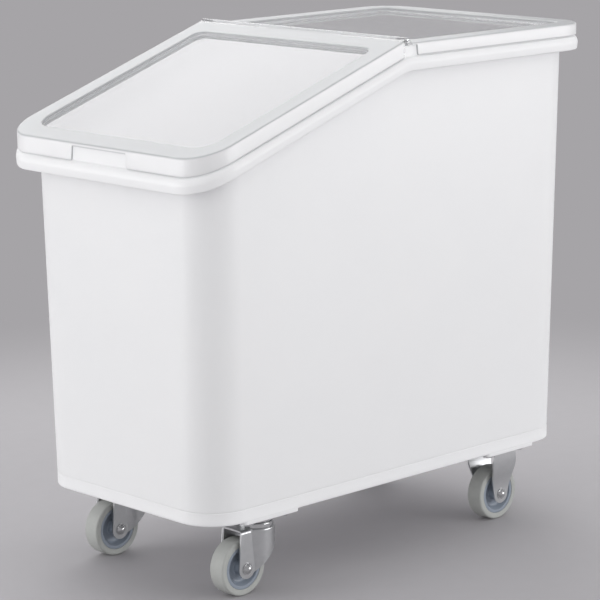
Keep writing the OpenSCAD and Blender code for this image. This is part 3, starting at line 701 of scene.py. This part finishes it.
# one hinge lug: a round eye that runs down into the border
def lugSolid(side):
    tilt = math.radians(slope["angle"])
    bead = lid["bead"]
    rootZ = lidTop - lid["lugRoot"]
    profile = [(hingeY - bead, rootZ), (hingeY - bead, hingeZ), (hingeY - bead, hingeZ + bead),
               (hingeY + bead * math.sin(tilt) - lid["lugEase"], hingeZ + bead * math.cos(tilt)),
               (hingeY + lid["lugLength"] - lid["lugEase"], rootZ)]
    bm = bmesh.new()
    verts = [bm.verts.new((side * lugIn, y, z)) for y, z in profile]
    bm.faces.new(verts)
    roundCorners(bm, [verts[2]], bead * lid["eyeShare"], lid["eyeSteps"])
    drawOut(bm, bmesh.ops.extrude_face_region(bm, geom=bm.faces[:]), (side * lid["lugWidth"], 0, 0))
    bmesh.ops.remove_doubles(bm, verts=bm.verts[:], dist=mergeGap)
    bmesh.ops.recalc_face_normals(bm, faces=bm.faces[:])
    return bm


frontLid = buildFrontLid()
rearLid = buildRearLid()

# hinge pins with domed heads, driven in from the sides
pin = {"radius": 1.5, "head": 2.7, "headDepth": 1, "steps": 32,
       "dome": ((2.5, 0.5), (1.9, 0.8), (1.0, 0.95))}  # radius and rise


def buildPin(side, node, name):
    low, high = boxOf(node)
    start, end = sorted((low.x, high.x), key=abs)
    neck = end - side * pin["headDepth"]
    section = [(0, start), (pin["radius"], start), (pin["radius"], neck), (pin["head"], neck)]
    section += [(radius, neck + side * rise) for radius, rise in pin["dome"]] + [(0, end)]
    bm = bmesh.new()
    turnRing(bm, [(radius, across, 0, 0) for radius, across in section], pin["steps"])
    bmesh.ops.translate(bm, vec=(0, hingeY, hingeZ), verts=bm.verts[:])
    finishPiece(name, bm, "rear_lid", "bright_steel", [node])


buildPin(-1, "hinge_pin_left", "left_pin")
buildPin(1, "hinge_pin_right", "right_pin")
print("lids pressed:", len(frontLid.data.polygons), len(rearLid.data.polygons), "faces")


# casters
wheel = {
    "steps": 96, "tread": 38.98, "width": 26, "joint": 30, "jointGap": 0.02, "sideInset": 0.3,
    "crown": 0.35, "rimWall": 4.5, "rimFace": 12.2, "dish": 21, "web": 3.5,
    "hub": 10.6, "hubFace": 15.5, "bore": 6.1,
}
wheelEdges = {  # rounding and steps of each edge
    "seat": (0.8, 3), "shoulder": (2.7, 6), "tread": (0, 0), "bore": (0.5, 2), "hub": (1.0, 3),
    "hubFoot": (1.5, 3), "dish": (3.0, 4), "rim": (0.8, 3),
}


def buildWheel(corner):
    low, high = boxOf(corner + "_tyre")
    centre = (low + high) / 2
    half = wheel["width"] / 2
    seat = wheel["joint"] + wheel["jointGap"]
    edge = wheel["tread"] - wheel["crown"]
    tyre = [
        (seat, -half + wheel["sideInset"], *wheelEdges["seat"]),
        (edge, -half, *wheelEdges["shoulder"]),
        (wheel["tread"], 0, *wheelEdges["tread"]),
        (edge, half, *wheelEdges["shoulder"]),
        (seat, half - wheel["sideInset"], *wheelEdges["seat"]),
    ]
    side = [
        (wheel["bore"], wheel["hubFace"], *wheelEdges["bore"]),
        (wheel["hub"], wheel["hubFace"], *wheelEdges["hub"]),
        (wheel["hub"], wheel["web"], *wheelEdges["hubFoot"]),
        (wheel["dish"], wheel["web"], *wheelEdges["dish"]),
        (wheel["joint"] - wheel["rimWall"], wheel["rimFace"], *wheelEdges["rim"]),
        (wheel["joint"], wheel["rimFace"], *wheelEdges["rim"]),
    ]
    core = side + [(radius, -across, rounding, steps) for radius, across, rounding, steps in reversed(side)]
    for name, section, slot, node in (("_tyre_ring", tyre, "grey_rubber", "_tyre"),
                                      ("_wheel_centre", core, "wheel_plastic", "_wheel_core")):
        bm = bmesh.new()
        turnRing(bm, section, wheel["steps"])
        bmesh.ops.translate(bm, vec=centre, verts=bm.verts[:])
        finishPiece(corner + name, bm, corner + "_wheel", slot, [corner + node])


for corner in corners:
    buildWheel(corner)
print("wheels turned")


# caster forks, plates and race cups, each set about its own swivel or fork axis
fork = {
    "room": 16, "sheet": 1.5, "rib": 2, "deckRib": 1, "bend": 3, "bendSteps": 4, "axle": 39,
    "lead": 32, "lobe": 14, "lobeSteps": 12, "lobeEase": 0.1, "bell": 27, "bellSteps": 44, "drop": 18,
    "strapHalf": 8.5, "strapLip": 0.4, "strapBack": 7.2, "strapEase": 0.05, "strapSteps": 5, "deckTop": 91,
    "race": 25.5, "raceBore": 8, "raceRound": 2, "raceEdge": 0.4, "raceRoundSteps": 5, "raceSteps": 96,
    "lowerRace": (91, 97.5), "upperRace": (98, 106),
    "plate": (106, 109), "plateHalf": (30, 39), "plateCorner": 5, "plateSegments": 6,
    "plateFoot": (0.7, 3), "plateTop": (0.3, 2),
}
rigid = {
    "sheet": 2.5, "bulge": 8, "waist": 18, "shoulder": 42, "half": 24, "neck": 19,
    "waistBend": (12, 5), "shoulderBend": (14, 6), "topBend": (4, 4),  # rounding and steps
    "cutStep": 4, "cuts": 15, "topCuts": (2, 1),
}


# rounds the foot of both legs about the axle
def roundFeet(bm, foot):
    feet = [vert for vert in bm.verts if vert.co.z < foot + nearBy]
    roundCorners(bm, feet, fork["lobe"] - fork["strapEase"], fork["lobeSteps"])


def thicken(bm, sheet):
    bmesh.ops.remove_doubles(bm, verts=bm.verts[:], dist=mergeGap)
    bmesh.ops.recalc_face_normals(bm, faces=bm.faces[:])
    bmesh.ops.solidify(bm, geom=bm.faces[:], thickness=sheet)


# the swivel fork: two legs, a swept round back and a deck, pressed from one sheet
def forkSheet():
    out = fork["room"] + fork["sheet"]
    join = -math.sqrt(fork["bell"] ** 2 - out ** 2)  # where a leg meets the round back
    front = -fork["lead"] - fork["lobe"]
    foot = fork["axle"] - fork["lobe"]
    top = fork["deckTop"]
    sweep = fork["lobe"] / math.sqrt(2)  # the swept back leaves the lobe halfway round its lower corner
    rise = (top - fork["drop"] - fork["axle"] + sweep) / (fork["bell"] + fork["lead"] - sweep)
    heel = fork["axle"] - sweep + rise * (join + fork["lead"] - sweep)
    tangent = fork["lobe"] * math.tan(math.pi / 8)
    bm = bmesh.new()
    peaks = []
    for side in (-1, 1):
        places = ((front, foot), (tangent - fork["lead"], foot), (join, heel), (join, top),
                  (-fork["lead"] - fork["strapHalf"], top))
        verts = [bm.verts.new((side * out, y, z)) for y, z in places]
        bm.faces.new(verts)
        roundCorners(bm, verts[:1], fork["lobe"] - fork["lobeEase"], fork["lobeSteps"])
        roundCorners(bm, verts[1:2], tangent - fork["lobeEase"], fork["lobeSteps"] // 2)
        peaks.append(verts[4])
    known = set(bm.verts)
    start = [bm.verts.new((out, join, z)) for z in (heel, top)]
    edge = bm.edges.new(start)
    bmesh.ops.spin(bm, geom=start + [edge], cent=(0, 0, 0), axis=(0, 0, 1),
                   angle=math.pi + 2 * math.atan2(-join, out), steps=fork["bellSteps"])
    for vert in bm.verts:
        if vert not in known and vert.co.z < top - nearBy:
            vert.co.z += rise * (vert.co.y - join)
    bmesh.ops.remove_doubles(bm, verts=bm.verts[:], dist=mergeGap)
    bends = [edge for edge in bm.edges if min(vert.co.z for vert in edge.verts) > top - nearBy]
    mouth = bm.edges.new(peaks)
    bmesh.ops.edgeloop_fill(bm, edges=bends + [mouth])
    roundEdges(bm, bends, fork["bend"], fork["bendSteps"])
    thicken(bm, fork["sheet"])
    return bm


# the doubled sheet over the deck and down both legs, drawn two wide and then widened to its taper
def strapSheet():
    half = fork["room"] + fork["sheet"] + fork["rib"]
    foot = fork["axle"] - fork["lobe"]
    top = fork["deckTop"] + fork["deckRib"]
    bm = bmesh.new()
    verts = [bm.verts.new((x, -1, z)) for x, z in ((half, foot), (half, top), (-half, top), (-half, foot))]
    for first, second in zip(verts, verts[1:]):
        bm.edges.new((first, second))
    roundCorners(bm, verts[1:3], fork["bend"] + fork["rib"], fork["strapSteps"])
    drawOut(bm, bmesh.ops.extrude_edge_only(bm, edges=bm.edges[:]), (0, 2, 0))
    cutAt(bm, 2, [fork["axle"]])
    for vert in bm.verts:
        climb = max(0, (vert.co.z - fork["axle"]) / (top - fork["axle"]))
        width = fork["strapHalf"] + fork["strapLip"] if vert.co.y < 0 else fork["strapBack"]
        vert.co.y = -fork["lead"] + vert.co.y * (fork["lobe"] + (width - fork["lobe"]) * climb)
    roundFeet(bm, foot)
    thicken(bm, fork["rib"])
    return bm


# the rigid fork: one strip bent over the wheel, with a waist and wide shoulders, widened like the strap
def rigidSheet():
    out = fork["room"] + rigid["sheet"]
    foot = fork["axle"] - fork["lobe"]
    shoulder = fork["axle"] + rigid["shoulder"]
    top = fork["plate"][0]
    wide = out + rigid["bulge"]
    side = [(out, foot), (out, fork["axle"] + rigid["waist"]), (wide, shoulder), (wide, top)]
    bm = bmesh.new()
    verts = [bm.verts.new((x, -1, z)) for x, z in side + [(-x, z) for x, z in reversed(side)]]
    for first, second in zip(verts, verts[1:]):
        bm.edges.new((first, second))
    for number, bend in enumerate(("waistBend", "shoulderBend", "topBend"), 1):
        roundCorners(bm, [verts[number], verts[-1 - number]], *rigid[bend])
    drawOut(bm, bmesh.ops.extrude_edge_only(bm, edges=bm.edges[:]), (0, 2, 0))
    cutAt(bm, 2, [fork["axle"] + rigid["cutStep"] * step for step in range(rigid["cuts"])])
    cutAt(bm, 2, [top - below for below in rigid["topCuts"]])
    for vert in bm.verts:
        z = vert.co.z
        if z <= shoulder:
            climb = max(0, (z - fork["axle"]) / rigid["shoulder"])
            half = fork["lobe"] + (rigid["half"] - fork["lobe"]) * climb
        else:
            part = min(1, (z - shoulder) / (top - shoulder))
            half = rigid["neck"] + (rigid["half"] - rigid["neck"]) * math.sqrt(1 - part * part)
        vert.co.y *= half
    roundFeet(bm, foot)
    thicken(bm, rigid["sheet"])
    return bm


def plateSheet():
    halfX, halfY = fork["plateHalf"]
    outline = (halfX, -halfY, halfY, fork["plateCorner"], fork["plateCorner"])
    bm = bmesh.new()
    low, high = fork["plate"]
    loftLoops(bm, [(outline, low, *fork["plateFoot"]), (outline, high, *fork["plateTop"])],
              fork["plateSegments"])
    return bm


# one race cup, rounded on the side away from the balls
def raceCup(heights, roundTop):
    low, high = heights
    lowRound, highRound = fork["raceRound"], fork["raceEdge"]
    if roundTop:
        lowRound, highRound = highRound, lowRound
    bm = bmesh.new()
    turnRing(bm, [(fork["raceBore"], low, 0, 0), (fork["race"], low, lowRound, fork["raceRoundSteps"]),
                  (fork["race"], high, highRound, fork["raceRoundSteps"]), (fork["raceBore"], high, 0, 0)],
             fork["raceSteps"])
    bmesh.ops.rotate(bm, cent=(0, 0, 0), matrix=Matrix.Rotation(-math.pi / 2, 3, "Y"), verts=bm.verts[:])
    return bm


def buildCaster(corner):
    low, high = boxOf(corner + "_plate_bolts")
    place = (low + high) / 2
    swivel = corner + "_swivel"
    if corner.startswith("front"):
        pieces = [  # name, shape, body, slot, replaced nodes
            ("_fork_shell", forkSheet(), swivel, "zinc_steel", [corner + "_fork"]),
            ("_fork_strap", strapSheet(), swivel, "zinc_steel", []),
            ("_lower_race", raceCup(fork["lowerRace"], True), swivel, "bright_steel", []),
            ("_top_plate", plateSheet(), "tub", "zinc_steel", [corner + "_plate"]),
            ("_upper_race", raceCup(fork["upperRace"], False), "tub", "bright_steel", []),
        ]
    else:
        pieces = [
            ("_fork_legs", rigidSheet(), "tub", "zinc_steel", [corner + "_fork"]),
            ("_top_plate", plateSheet(), "tub", "zinc_steel", []),
        ]
    for name, bm, body, slot, replaced in pieces:
        bmesh.ops.translate(bm, vec=(place.x, place.y, 0), verts=bm.verts[:])
        finishPiece(corner + name, bm, body, slot, replaced)


for corner in corners:
    buildCaster(corner)
print("casters pressed")


# camera, at the height and angle of the photograph
view = {"azimuth": 46.47, "elevation": 11.75, "roll": -0.69, "lens": 157.14, "sensor": 36,
        "target": (-3.22, -9.45, 344.2), "distance": 3695, "clipEnd": 60}
turn, rise = math.radians(view["azimuth"]), math.radians(view["elevation"])
away = Vector((math.sin(turn) * math.cos(rise), -math.cos(turn) * math.cos(rise), math.sin(rise)))
camera = bpy.data.cameras.new("camera")
camera.lens = view["lens"]
camera.sensor_width = view["sensor"]
camera.clip_end = view["clipEnd"]
cameraObject = bpy.data.objects.new("camera", camera)
bpy.context.scene.collection.objects.link(cameraObject)
cameraObject.rotation_mode = "QUATERNION"
cameraObject.location = (Vector(view["target"]) + away * view["distance"]) * mm
aim = (-away).to_track_quat("-Z", "Y").to_matrix() @ Matrix.Rotation(math.radians(view["roll"]), 3, "Z")
cameraObject.rotation_quaternion = aim.to_quaternion()
bpy.context.scene.camera = cameraObject

# floor and backdrop, in metres
studio = {"floorRadius": 16, "floorSides": 96, "nearFloor": 0.75, "farFloor": 1.6, "backdrop": "#A6A4A7",
          "horizon": 1.22, "zenith": 0.62}
bm = bmesh.new()
bmesh.ops.create_circle(bm, cap_ends=True, segments=studio["floorSides"], radius=studio["floorRadius"])
floorMesh = bpy.data.meshes.new("floor")
bm.to_mesh(floorMesh)
bm.free()
floorMesh.materials.append(studioPaper())
floor = bpy.data.objects.new("floor", floorMesh)
bpy.context.scene.collection.objects.link(floor)

world = bpy.data.worlds.new("studio")
bpy.context.scene.world = world
world.use_nodes = True
tree = world.node_tree
tree.nodes.clear()
compass = addNode(tree, "SeparateXYZ", None, {0: addNode(tree, "TexCoord").outputs["Generated"]})
level = addNode(tree, "MapRange", {"To Min": studio["horizon"], "To Max": studio["zenith"]},
                {"Value": compass.outputs["Z"]})
fill = addNode(tree, "Background", {"Color": srgb("#FFFFFF")}, {"Strength": level.outputs["Result"]})
backdrop = addNode(tree, "Background", {"Color": srgb(studio["backdrop"]), "Strength": 1.0})
mixed = addNode(tree, "MixShader", None,
                {0: seenDirectly(tree), 1: fill.outputs[0], 2: backdrop.outputs[0]})
addNode(tree, "OutputWorld", None, {"Surface": mixed.outputs[0]})

# soft lamps, in metres: (place, aim, width, height, watts)
lamps = {
    "key": ((-2.0, -3.4, 0.8), (0, 0, 0.4), 2.4, 1.5, 47),
    "side": ((3.6, 2.4, 0.8), (0, 0, 0.4), 3.2, 1.5, 53),
    "top": ((0.2, 0.4, 3.6), (0, 0, 0.4), 2.4, 2.4, 5),
    "lidGlow": ((-2.13, 1.24, 2.35), (0, -0.2, 0.64), 2.4, 2.4, 33),
}
for name, (place, aimAt, width, height, watts) in lamps.items():
    lamp = bpy.data.lights.new(name, "AREA")
    lamp.shape = "RECTANGLE"
    lamp.size = width
    lamp.size_y = height
    lamp.energy = watts
    lampObject = bpy.data.objects.new(name, lamp)
    lampObject.location = place
    lampObject.visible_transmission = False  # no lamp is seen through a lid
    lampObject.rotation_euler = (Vector(aimAt) - Vector(place)).to_track_quat("-Z", "Y").to_euler()
    bpy.context.scene.collection.objects.link(lampObject)

bpy.context.scene.view_settings.view_transform = "Standard"
print("stage lit")
